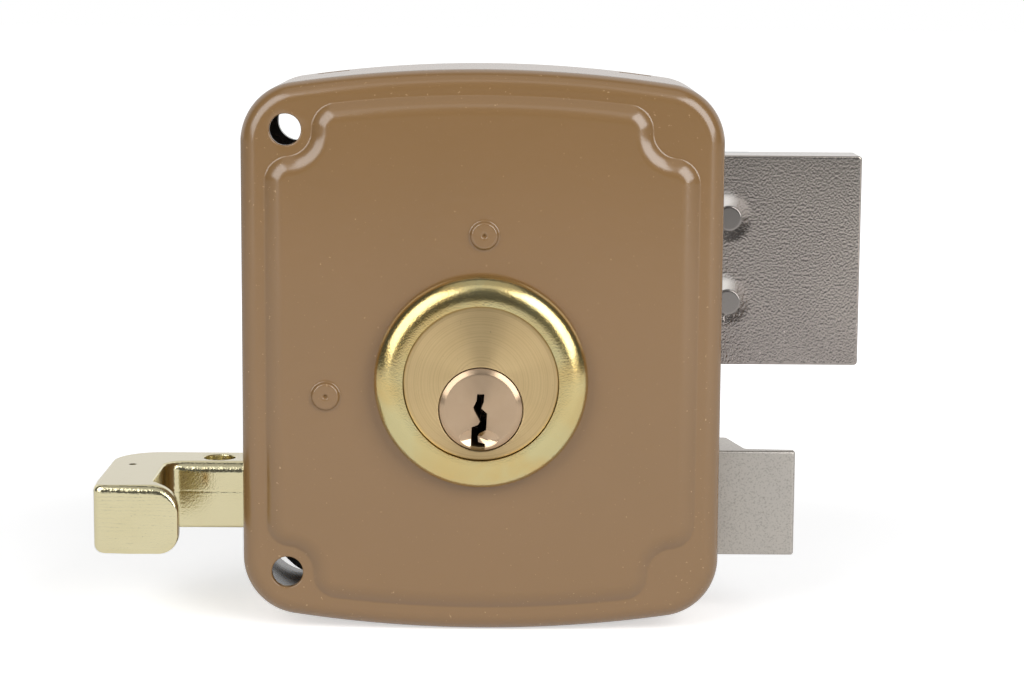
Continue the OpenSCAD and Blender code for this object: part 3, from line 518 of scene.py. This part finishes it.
# Deadbolt: a thick cast block that slides from the case into the door frame, riveted to its tail
# plate by two studs. The casting's skin is coarse, and it dips round each stud.
def tapped_face(low, high, y, corner, edge, dips, lines):
    """A block's front as a sheet over x and z: the corners' square is drawn in to a circle, the
    border falls away in a quarter round, and round each dip the face sinks on a cosine."""
    mid, half = (np.array(low) + high)/2, (np.array(high) - low)/2
    border = edge*(1 - np.cos(np.radians(np.linspace(0, 90, 8))))
    spans = [np.concatenate([border - h, np.linspace(edge*1.3 - h, h - edge*1.3, n),
                             (h - border)[::-1]]) for h, n in zip(half, lines)]
    x, z = np.meshgrid(*spans, indexing="ij")
    d = np.minimum(half[0] - abs(x), half[1] - abs(z))
    p, q = [np.clip(abs(c) - (h - corner), 0, None)/corner for c, h in zip((x, z), half)]
    draw = np.where((p > 0) & (q > 0), np.maximum(p, q)/np.maximum(np.hypot(p, q), 1e-9), 1)
    x = np.where(p*q > 0, np.sign(x)*(half[0] - corner + corner*p*draw), x) + mid[0]
    z = np.where(p*q > 0, np.sign(z)*(half[1] - corner + corner*q*draw), z) + mid[1]
    fall = edge - np.sqrt(np.clip(edge**2 - np.clip(edge - d, 0, edge)**2, 0, None))
    for cx, cz, reach_in, reach_out, depth in dips:
        s = np.clip((np.hypot(x - cx, z - cz) - reach_in)/(reach_out - reach_in), 0, 1)
        fall = fall + depth*(0.5 + 0.5*np.cos(pi*s))
    return np.stack([x, y + fall, z], -1)


def faced_block(front, back_rings):
    """Closes a front sheet with rings behind its border; each ring is an inset and a y."""
    m, n = front.shape[:2]
    k = np.arange(m*n).reshape(m, n)
    around = np.concatenate([k[:-1, 0], k[-1, :-1], k[:0:-1, -1], k[0, :0:-1]])
    edge = front.reshape(-1, 3)[around]
    step = np.roll(edge, -1, 0) - np.roll(edge, 1, 0)
    out = np.stack([step[:, 2], -step[:, 0]], 1)
    out /= np.linalg.norm(out, axis=1)[:, None]
    rings = [np.insert(edge[:, ::2] - i*out, 1, y, axis=1) for i, y in back_rings]
    quads = np.stack([k[:-1, :-1], k[1:, :-1], k[1:, 1:], k[:-1, 1:]], -1).reshape(-1, 4)
    loops = np.vstack([around, m*n + np.arange(len(rings)*len(edge)).reshape(len(rings), -1)])
    a, b = loops[:-1], loops[1:]
    wall = np.stack([a, b, np.roll(b, -1, 1), np.roll(a, -1, 1)], -1).reshape(-1, 4)
    faces = quads.tolist() + wall.tolist() + [loops[-1][::-1].tolist()]
    return np.vstack([front.reshape(-1, 3), *rings]), faces


# A rebate in the block's back takes the tail plate. Round a stud's middle the face is deepest
# up to dip_start, and it is level again at dip_r.
bolt_left, bolt_right, bolt_mid, bolt_h, bolt_front, bolt_back = 32, 64.5, 18.3, 36, -12.5, -3
bolt_corner, bolt_edge, rebate_right, rebate_y = 0.6, 0.35, 46, -6.8
stud_x, stud_gap, dip_start, dip_r, dip_depth = 42, 14.4, 1.7, 4.2, 0.24
bolt_low, bolt_high = bolt_mid - bolt_h/2, bolt_mid + bolt_h/2
studs = [(stud_x, bolt_mid + stud_gap/2), (stud_x, bolt_mid - stud_gap/2)]
dips = [(x, z, dip_start, dip_r, dip_depth) for x, z in studs]
bolt_face = tapped_face((bolt_left, bolt_low), (bolt_right, bolt_high), bolt_front, bolt_corner,
                        bolt_edge, dips, (150, 164))
back_edge = [(0, bolt_back - bolt_edge), (0.1, bolt_back - 0.1), (bolt_edge, bolt_back)]
bolt = make("deadbolt_block", *faced_block(bolt_face, back_edge))
cut_out(bolt, [block((bolt_left - 1, rebate_y, bolt_low - 1),
                     (rebate_right, bolt_back + 1, bolt_high + 1))])

# Bright zinc over a coarse casting skin: a grey metal pimpled like hide about every 0.4 mm,
# deeper towards its lower edge, mottled at random, and lighter towards its upper end, with painted
# shade darkening it towards the case. It is smooth above each stud, where a near-white painted
# highlight is put, and the studs, which stand in front of the face, are duller.
bolt_plating, tree, shader, mm = begin("zinc_on_coarse_casting")
place = add(tree, "SeparateXYZ", {"Vector": mm})
on_face = spread(tree, place["Y"], bolt_front - 0.16, bolt_front - 0.08)
# Painted shade: darker towards the case and lighter outward, over a random mottle.
outward = spread(tree, reckon(tree, "VectorMath", "DOT_PRODUCT", mm, (0.6, 0, 0.8)), 26, 66, 0, 0.8)
mottle_and_shade = reckon(tree, "Math", "MULTIPLY_ADD", noise(tree, mm, 0.1, 3), 0.5, outward)
skin = blend(tree, mottle_and_shade, "978f8c", "b8b0a8")
# Painted highlight: near-white on the face above each stud; the same mask thins the casting's relief
# there.
upper, lower = [reckon(tree, "VectorMath", "DISTANCE", mm, (x - 1, bolt_front, z + 2.9))
                for x, z in studs]
coarse_or_highlit = spread(tree, reckon(tree, "Math", "MINIMUM", upper, lower), 0.8, 2.6, 0.1)
tone = blend(tree, on_face, "918c88", blend(tree, coarse_or_highlit, "e6e2de", skin))
tall_cells = add(tree, "Mapping", {"Vector": mm, "Scale": (1.25, 1, 1)})["Vector"]
deeper = spread(tree, place["Z"], 36, 2, 0.2)
relief = reckon(tree, "Math", "MULTIPLY", deeper, reckon(tree, "Math", "MULTIPLY", coarse_or_highlit, on_face))
connect(tree, shader, {
    "Base Color": tone, "Metallic": 1, "Roughness": 0.2,
    "Normal": raised(tree, noise(tree, tall_cells, 2.4, 2), 120, Strength=relief)})
finish_piece(bolt, "deadbolt", bolt_plating, "bolt_plating", "deadbolt_head")


# Studs: the ends of the two rivets that hold the deadbolt to its tail plate. They are set flat
# with a small round at the edge, and plated with the bolt.
stud_y = -12.72
stud_profile = [(0.02, stud_y), (1.7, stud_y), (1.9, stud_y), (2.01, -12.71), (2.07, -12.68),
                (2.1, -12.62), (2.1, bolt_front), (2.1, -12.1), (2, -12.1), (2, bolt_back)]
stud_heads = make("deadbolt_studs", *joined_solids(
    [closed_skin(turned(stud_profile, x, z, 64)) for x, z in studs]))
finish_piece(stud_heads, "deadbolt", bolt_plating, "bolt_plating", "deadbolt_rivets")


# Latch: a cast bolt that springs out and is pushed back by the strike, so its rear side is
# bevelled to a thin nose. A bar behind it reaches through the case to the finger pull.
def rounded_plan(corners, inset, steps=6):
    """A plan's outline with rounded corners, drawn in by an inset. Each corner is x, y and radius,
    in order round the plan. The inset takes from an outward corner's radius and adds to an
    inward one's."""
    c = np.array(corners, float)
    p, r = c[:, :2], c[:, 2]
    a, b = np.roll(p, 1, 0) - p, np.roll(p, -1, 0) - p
    a /= np.linalg.norm(a, axis=1)[:, None]
    b /= np.linalg.norm(b, axis=1)[:, None]
    half = np.arccos(np.clip((a*b).sum(1), -1, 1))/2
    turn = np.sign(b[:, 0]*a[:, 1] - b[:, 1]*a[:, 0])
    bisect = (a + b)/np.linalg.norm(a + b, axis=1)[:, None]
    kept = np.clip(r - turn*inset, 0.001, None)
    centre = p + bisect*((turn*inset + kept)/np.sin(half))[:, None]
    n0 = np.stack([-a[:, 1], a[:, 0]], 1)[:, None]
    n1 = np.stack([b[:, 1], -b[:, 0]], 1)[:, None]
    t = np.linspace(0, 1, steps + 1)[None, :, None]
    sweep = (pi - 2*half)[:, None, None]
    normal = (np.sin((1 - t)*sweep)*n0 + np.sin(t*sweep)*n1)/np.sin(sweep)
    return (centre[:, None] + (turn*kept)[:, None, None]*normal).reshape(-1, 2)


def edged_prism(corners, z0, z1, edge):
    """A plan made solid between two heights, with a quarter round on its upper and lower edges."""
    a = np.radians(np.linspace(0, 90, 7))
    low = [(edge*(1 - sin(v)), z0 + edge*(1 - cos(v))) for v in a]
    high = [(edge*(1 - cos(v)), z1 - edge*(1 - sin(v))) for v in a]
    rest = edge + 0.15
    rows = [(rest, z0), *low, (0, z0 + rest), (0, z1 - rest), *high, (rest, z1)]
    return closed_skin([np.insert(rounded_plan(corners, i), 2, z, axis=1) for i, z in rows])


def squared(x0, y0, x1, y1, r):
    """A rectangle's corners, each with the radius r."""
    return [(x0, y0, r), (x1, y0, r), (x1, y1, r), (x0, y1, r)]


# The head, the collar that stops it inside the case, the bar, the tongue in the pull's tail, and
# the stud that the spring pushes.
latch_front, latch_back, latch_low, latch_high, collar_high = -16.4, -3, -32.3, -14.1, -12.5
bar_front, bar_back, bar_low, bar_high = -12.7, -3, -29, -17.4
tongue_front, tongue_back, tongue_low, tongue_high = -10.2, -5.5, -26.5, -19.9
push_x, push_z, push_r, push_front, push_back = -19.25, -20, 1.6, -19.4, -11.7
latch_plan = [(30, latch_front, 0.3), (53.8, latch_front, 0.55), (53.8, -14.5, 0.55),
              (45.5, -13.9, 0.8), (43.1, latch_back, 0.9), (30, latch_back, 0.3)]
push_stud = [(push_r - 0.1, push_front), (push_r, push_front + 0.1), (push_r, push_back)]
latch = make("latch_head", *joined_solids([
    edged_prism(latch_plan, latch_low, latch_high, 0.45),
    edged_prism(squared(34.1, latch_front, 38.6, latch_back, 0.3), latch_low, collar_high, 0.3),
    edged_prism(squared(-24, bar_front, 31, bar_back, 0.4), bar_low, bar_high, 0.4),
    edged_prism(squared(-49.9, tongue_front, -23, tongue_back, 0.3), tongue_low, tongue_high, 0.3),
    closed_skin(turned(push_stud, push_x, push_z, 32))]))

# Dull zinc on a fine casting: a pale warm grey, faintly speckled every 0.4 mm.
latch_plating, tree, shader, mm = begin("dull_zinc_plating")
dull = blend(tree, noise(tree, mm, 0.15, 3), "b8b3ad", "c2bcb3")
dots = noise(tree, mm, 3, 2)
connect(tree, shader, {
    "Base Color": blend(tree, spread(tree, dots, 0.5, 0.75), dull, "9f9a93"), "Metallic": 1,
    "Roughness": 0.4, "Normal": raised(tree, dots, 20)})
finish_piece(latch, "latch", latch_plating, "latch_plating", "latch_bolt")


# Finger pull: a cast hook, brass plated, whose pad stands in front of the case's side for a
# finger to draw. Its tail slides through the case and is pinned on the latch's tongue.
out_x, wall_x, pad_x, pad_y, pad_rear, pad_bevel = -64.1, -54.6, -50, -33.7, -30.9, 0.6
tail_end, bend_x, bend_r, throat_r, nose_r, end_r = -24, -46, 8, 2.4, 1.3, 0.7
neck_in, neck_out = -21, -22
throat_x = wall_x + throat_r


def along(points, count):
    """A row of points walked at an even pace, in count steps."""
    p = np.asarray(points, float)
    s = np.concatenate([[0], np.cumsum(np.linalg.norm(np.diff(p, axis=0), axis=1))])
    t = np.linspace(0, s[-1], count + 1)
    return np.stack([np.interp(t, s, p[:, i]) for i in range(2)], 1)


def hollow(x):
    """The pad's rear at x: the hollow's corner round, a flat, then a small bevel to its end."""
    return (pad_rear + throat_r - np.sqrt(throat_r**2 - np.minimum(x - throat_x, 0)**2)
            - np.maximum(x - pad_x + pad_bevel, 0))


# Pairs of inner and outer points, section by section: the tail, the bend, the neck, the turn
# into the pad round its front corner, the pad's face at equal x, and its rounded end.
tail_x = np.linspace(tail_end, bend_x, 12)
bend = arc((out_x + bend_r, bar_back - bend_r), bend_r, 90, 180, 30)[:, :2]
nose = arc((out_x + nose_r, pad_y + nose_r), nose_r, 180, 270, 12)[:, :2]
throat = arc((throat_x, bar_front - throat_r), throat_r, 90, 180, 16)[:, :2]
heel = arc((throat_x, pad_rear + throat_r), throat_r, 180, 225, 8)[:, :2]
face_x = np.linspace(heel[-1, 0], pad_x - end_r, 24)
end_x = pad_x - end_r + end_r*np.sin(np.radians(np.linspace(8, 84, 10)))
end_y = pad_y + end_r - np.sqrt(end_r**2 - (end_x - pad_x + end_r)**2)
pairs = [
    (np.stack([tail_x, np.full(12, bar_front)], 1), np.stack([tail_x, np.full(12, bar_back)], 1)),
    (along([(bend_x, bar_front), *throat[:9]], 22), along([(bend_x, bar_back), *bend[:16]], 22)),
    (along([*throat[8:], (wall_x, neck_in)], 20), along([*bend[15:], (out_x, neck_out)], 20)),
    (along([(wall_x, neck_in), *heel], 40),
     along([(out_x, neck_out), *nose, (heel[-1, 0], pad_y)], 40)),
    (np.stack([face_x, hollow(face_x)], 1), np.stack([face_x, np.full(24, pad_y)], 1)),
    (np.stack([end_x, hollow(end_x)], 1), np.stack([end_x, end_y], 1))]
inner, outer = [np.vstack([pairs[0][i]] + [p[i][1:] for p in pairs[1:5]] + [pairs[5][i]])
                for i in (0, 1)]


def edge_round(near, far, count=14):
    """Distances in from a side and down from the top of an edge, from the side to the top: its
    radius goes evenly from near to far as it turns."""
    a = np.linspace(0, pi/2, count)
    steps = (near + (far - near)*(a[:-1] + a[1:])/pi)*pi/2/(count - 1)
    mid = (a[:-1] + a[1:])/2
    back = np.concatenate([[0], np.cumsum(steps*np.sin(mid))])
    down = np.concatenate([[0], np.cumsum(steps*np.cos(mid))])
    return back, down[-1] - down


# The hook's finer sizes: the radii of the pad's right corners, and the mould's parting line. Its
# sections are numbered from the tail's end: the bend starts at 12, the neck at 34, the turn into
# the pad at 54 and the pad's face at 94.
high_r, low_r, seam_z, seam_depth = 4.5, 3.4, -22.55, 0.03


def hook(inner, outer):
    """A section between each inner and outer point. Its top edges are broadly rounded on the
    tail's and the pad's fronts and crisp elsewhere, by shares that change from section to
    section. Its heights follow the pad's rounded right corners, and a shallow groove marks the
    mould's parting line."""
    across = outer - inner
    wide = np.linalg.norm(across, axis=1)[:, None]
    across /= wide
    step = np.arange(len(outer))
    in_pad = step > 85
    over = [np.where(in_pad, np.clip(outer[:, 0] - (pad_x - r), 0, r*0.999), 0)
            for r in (high_r, low_r)]
    top = (bar_high - high_r + np.sqrt(high_r**2 - over[0]**2))[:, None]
    low = (bar_low + low_r - np.sqrt(low_r**2 - over[1]**2))[:, None]
    fit = np.minimum(1, 0.36*wide)
    broad_in = fit*np.interp(step, [26, 34], [1, 0.3])[:, None]
    broad_out = fit*np.interp(step, [66, 78], [0.3, 0.75])[:, None]
    foot_in = fit*0.65
    foot_out = fit*np.interp(step, [20, 40, 68, 84], [0.65, 1.9, 1.9, 0.65])[:, None]
    back, down = edge_round(2.2, 1.4)
    a = np.linspace(0, pi/2, 9)
    soft_s, soft_z = 1 - np.cos(a), 1 - np.sin(a)
    rest = 0.12
    foot_z, in_z, out_z = low + foot_in + rest, top - down[0]*broad_in, top - down[0]*broad_out
    seam = np.clip(seam_z + np.array([[-0.4, -0.15, 0, 0.15, 0.4]]), foot_z, in_z - rest)
    on_tail = inner[:, 1] > bar_front - 1.7
    groove = np.where(on_tail, seam_depth, 0)[:, None]*np.array([[0, 0, 1, 0, 0]])
    cols = [(0*wide, foot_z), (groove, seam), (0*wide, in_z - rest),
            (back*broad_in, top - down*broad_in), (back[-1]*broad_in + rest, top),
            (wide - back[-1]*broad_out - rest, top),
            (wide - back[::-1]*broad_out, top - down[::-1]*broad_out), (wide, out_z - rest),
            (wide, low + foot_out + rest), (wide - soft_s*foot_out, low + soft_z*foot_out),
            (wide - foot_out - rest, low), (foot_in + rest, low),
            (soft_s[::-1]*foot_in, low + soft_z[::-1]*foot_in)]
    s = np.hstack([c[0]*np.ones_like(c[1]) for c in cols])
    z = np.hstack([c[1]*np.ones_like(c[0]) for c in cols])
    xy = inner[:, None] + s[..., None]*across[:, None]
    return np.dstack([xy, z])


# Two holes in its top: the pin's, with a rounded lip, and a small vent of the mould.
pull = make("finger_hook", *closed_skin(hook(inner, outer)))
pin_x, pin_y, pin_r, pin_lip, vent_x, vent_y, vent_r = -45.9, -7.85, 2.75, 0.25, -60.1, -14.9, 0.65
flare = np.radians(np.linspace(0, 90, 6))
lip = np.stack([pin_r + pin_lip*(1 - np.sin(flare)), bar_high - pin_lip*(1 - np.cos(flare))], 1)
pin_hole = turned([(pin_r + pin_lip, bar_high + 1.4), *lip, (pin_r, tongue_high)], pin_x, pin_y, 64)
vent = turned([(vent_r, bar_high + 1.4), (vent_r, bar_high - 0.8)], vent_x, vent_y, 32)
cut_out(pull, [closed_skin(hole[..., [0, 2, 1]]) for hole in (pin_hole, vent)])

# Thin brass over a bright zinc casting: a pale lemon metal, browner in one small upright stain and
# darker and greyer on its upward faces, with a fine cast tooth of 0.3 mm that breaks its reflections,
# and file marks along the pad's face.
stain_x, stain_z, stain_squeeze = -47.9, -20, 0.51
lemon_brass, tree, shader, mm = begin("brass_flash_on_zinc_casting")
flash = blend(tree, noise(tree, mm, 0.16, 4), "d9cfa6", "e2d9b3")
aim = add(tree, "SeparateXYZ", {"Vector": add(tree, "NewGeometry")["Normal"]})
darker_on_top = blend(tree, spread(tree, aim["Z"], 0.8, 0.98, 0, 0.7), flash, "b6ab8a")
spot = add(tree, "Mapping", {"Vector": mm, "Location": (-stain_x, 0, -stain_z*stain_squeeze),
                             "Scale": (1, 0, stain_squeeze)})
stain = add(tree, "TexGradient", {"Vector": spot["Vector"]}, gradient_type="SPHERICAL")["Fac"]
edges = spread(tree, reckon(tree, "Math", "MULTIPLY", aim["Y"], aim["Z"]), -0.05, -0.3, 0.5)
cast = raised(tree, noise(tree, mm, 2.6, 2), 50, Strength=edges)
strokes = add(tree, "Mapping", {"Vector": mm, "Rotation": (0, radians(7), 0),
                                "Scale": (0.09, 0.1, 2.2)})["Vector"]
forward = add(tree, "SeparateXYZ", {"Vector": mm})["Y"]
on_pad = spread(tree, forward, pad_y + 0.5, pad_y + 0.1)
filed = raised(tree, noise(tree, strokes, 1, 2), 30, Strength=on_pad, Normal=cast)
connect(tree, shader, {"Base Color": blend(tree, stain, darker_on_top, "b89a5c"), "Metallic": 1,
                       "Roughness": 0.16, "Normal": filed})
finish_piece(pull, "latch", lemon_brass, "pull_plating", "finger_pull", sharp=40)


# Studio: a white floor that the lock stands on and that ends in the dark in front of it, white
# behind, a soft box to the left and right of the camera, and two dim scrims above it. The
# floor and the lamps are in metres.
half_floor, floor_z = 4.0, -0.0431
floor_mesh = bpy.data.meshes.new("floor")
floor_mesh.from_pydata([(-half_floor, -half_floor, floor_z), (half_floor, -half_floor, floor_z),
                        (half_floor, half_floor, floor_z), (-half_floor, half_floor, floor_z)],
                       [], [(0, 1, 2, 3)])
floor = bpy.data.objects.new("floor", floor_mesh)
bpy.context.scene.collection.objects.link(floor)

# The floor turns dark between 0.38 and 1.3 m in front. To the camera it glows, fully from 0.26 m
# away, so that it is white but for the shadow. To reflections it glows a little, from 0.18 m in
# front of the lock backwards.
white, tree, shader, mm = begin("matt_white_floor")
white.cycles.emission_sampling = "NONE"
nearer = add(tree, "SeparateXYZ", {"Vector": mm})["Y"]
front = spread(tree, nearer, -380, -1300, interpolation_type="SMOOTHSTEP")
far_off = reckon(tree, "VectorMath", "LENGTH", mm)
away = spread(tree, far_off, 90, 260, interpolation_type="SMOOTHSTEP")
plain = spread(tree, reckon(tree, "Math", "MAXIMUM", away, front), 0, 1, 0.55)
strip = spread(tree, nearer, -340, -180, 0, 0.24)
ray = add(tree, "LightPath")
shown = reckon(tree, "Math", "MULTIPLY", plain, ray["Is Camera Ray"])
connect(tree, shader, {
    "Base Color": blend(tree, front, "f2f2f2", "303234"), "Roughness": 0.9,
    "Specular IOR Level": 0, "Emission Color": (1, 1, 1, 1),
    "Emission Strength": reckon(tree, "Math", "MULTIPLY_ADD", strip, ray["Is Glossy Ray"], shown)})
floor_mesh.materials.append(white)

# The room: dark in front and white behind to reflections, a dim grey fill to matt surfaces, and
# white to the camera.
world = bpy.data.worlds.new("studio")
bpy.context.scene.world = world
world.use_nodes = True
world.cycles.sampling_method = "NONE"
tree = world.node_tree
depth_y = add(tree, "SeparateXYZ", {"Vector": add(tree, "TexCoord")["Generated"]})["Y"]
behind = spread(tree, depth_y, 0.05, 0.45, interpolation_type="SMOOTHSTEP")
ray = add(tree, "LightPath")
room = blend(tree, behind, (0.08, 0.085, 0.092, 1), (1, 1, 1, 1))
fill = blend(tree, ray["Is Diffuse Ray"], room, (0.15, 0.15, 0.15, 1))
shown = blend(tree, ray["Is Camera Ray"], fill, (1, 1, 1, 1))
connect(tree, tree.nodes["Background"], {"Color": shown})


def soft_box(name, azimuth, height, distance, long, wide, power):
    """A flat lamp turned to the lock from a direction in degrees, with its long side square to
    the plane through the lamp, the lock and the camera."""
    az, el = radians(azimuth), radians(height)
    z = np.array([sin(az)*cos(el), -cos(az)*cos(el), sin(el)])
    y = np.cross([0, -1, 0], z)
    y /= np.linalg.norm(y)
    x = np.cross(y, z)
    lamp = bpy.data.lights.new(name, "AREA")
    lamp.shape = "RECTANGLE"
    lamp.size, lamp.size_y, lamp.energy = wide, long, power
    holder = bpy.data.objects.new(name, lamp)
    holder.matrix_world = Matrix([*np.column_stack([x, y, z, z*distance]), (0, 0, 0, 1)])
    holder.visible_camera = False
    bpy.context.scene.collection.objects.link(holder)


soft_box("soft_box_left", -38, 24.5, 1.0, 0.74, 0.62, 4.9)
soft_box("soft_box_right", 41, 24.5, 1.0, 0.74, 0.62, 6.5)
soft_box("high_scrim", 0, 45, 0.95, 0.9, 0.24, 0.55)
soft_box("overhead_scrim", 0, 69, 0.95, 0.9, 0.5, 0.65)


# Camera: a long lens at the photograph's place, 8 degrees above the lock and a hair rolled. Its
# stand is in metres.
lens = bpy.data.cameras.new("camera")
lens.lens, lens.sensor_width, lens.clip_start = 92.15, 36, 0.01
dip, roll = radians(8.2225), radians(0.3908)
right = (cos(roll), sin(roll)*sin(dip), sin(roll)*cos(dip))
up = (-sin(roll), cos(roll)*sin(dip), cos(roll)*cos(dip))
back = (0, -cos(dip), sin(dip))
camera = bpy.data.objects.new("camera", lens)
stand = (0.00506, -0.45854, 0.06858)
camera.matrix_world = Matrix([*np.column_stack([right, up, back, stand]), (0, 0, 0, 1)])
bpy.context.scene.collection.objects.link(camera)
bpy.context.scene.camera = camera
bpy.context.scene.view_settings.view_transform = "Standard"
